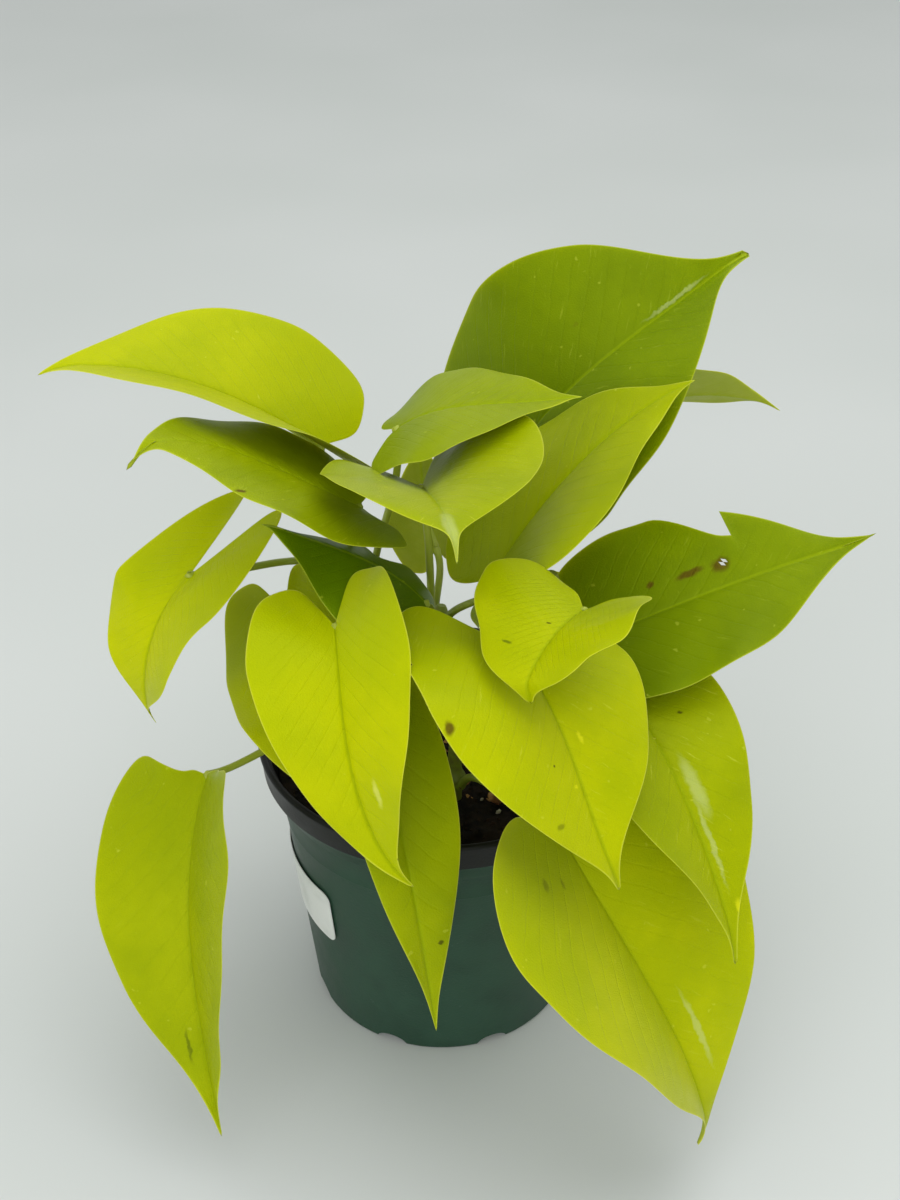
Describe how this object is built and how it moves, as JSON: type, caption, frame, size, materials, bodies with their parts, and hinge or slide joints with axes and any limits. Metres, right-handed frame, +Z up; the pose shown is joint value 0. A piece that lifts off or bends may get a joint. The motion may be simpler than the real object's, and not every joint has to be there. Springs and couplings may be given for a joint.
{
  "type": "potted pothos plant",
  "caption": "Bushy trailing houseplant with heart-shaped golden-green leaves on thin stalks, growing in a round tapered nursery pot with a drained base and a blank label.",
  "frame": {"origin": "middle of the pot's base, on the surface that it stands on", "axes": "+Z up the pot's axis, -Y towards the side that the fullest leaves face, +X to the right of that side"},
  "size_m": [0.228, 0.1831, 0.2203],
  "materials": {
    "pot": "satin dark green outside, black rim and inside",
    "soil": "matte moist peat mix with bark and perlite",
    "label": "blank semi-matte label",
    "vine": "satin green stem",
    "stalk": "satin yellow-green stalk",
    "leaf": "waxy golden-green leaf"
  },
  "bodies": {
    "root": {"pot": "pot", "soil": "soil", "label": "label", "vine_left": "vine", "vine_back_left": "vine", "vine_centre": "vine", "vine_back_right": "vine", "vine_right": "vine", "vine_front": "vine", "stalk_top_left": "stalk", "leaf_top_left": "leaf", "stalk_upper_left": "stalk", "leaf_upper_left": "leaf", "stalk_left": "stalk", "leaf_left": "leaf", "stalk_centre_shaded": "stalk", "leaf_centre_shaded": "leaf", "stalk_front_left": "stalk", "leaf_front_left": "leaf", "stalk_behind_front_left": "stalk", "leaf_behind_front_left": "leaf", "stalk_low_left": "stalk", "leaf_low_left": "leaf", "stalk_front_hanging": "stalk", "leaf_front_hanging": "leaf", "stalk_front_right": "stalk", "leaf_front_right": "leaf", "stalk_young": "stalk", "leaf_young": "leaf", "stalk_right_drooping": "stalk", "leaf_right_drooping": "leaf", "stalk_low_right": "stalk", "leaf_low_right": "leaf", "stalk_right": "stalk", "leaf_right": "leaf", "stalk_top_right": "stalk", "leaf_top_right": "leaf", "stalk_upper_right": "stalk", "leaf_upper_right": "leaf", "stalk_far_right": "stalk", "leaf_far_right": "leaf", "stalk_upper_centre": "stalk", "leaf_upper_centre": "leaf", "stalk_pale_forward": "stalk", "leaf_pale_forward": "leaf", "stalk_centre_back": "stalk", "leaf_centre_back": "leaf", "stalk_right_hidden": "stalk", "leaf_right_hidden": "leaf"}
  },
  "joints": []
}
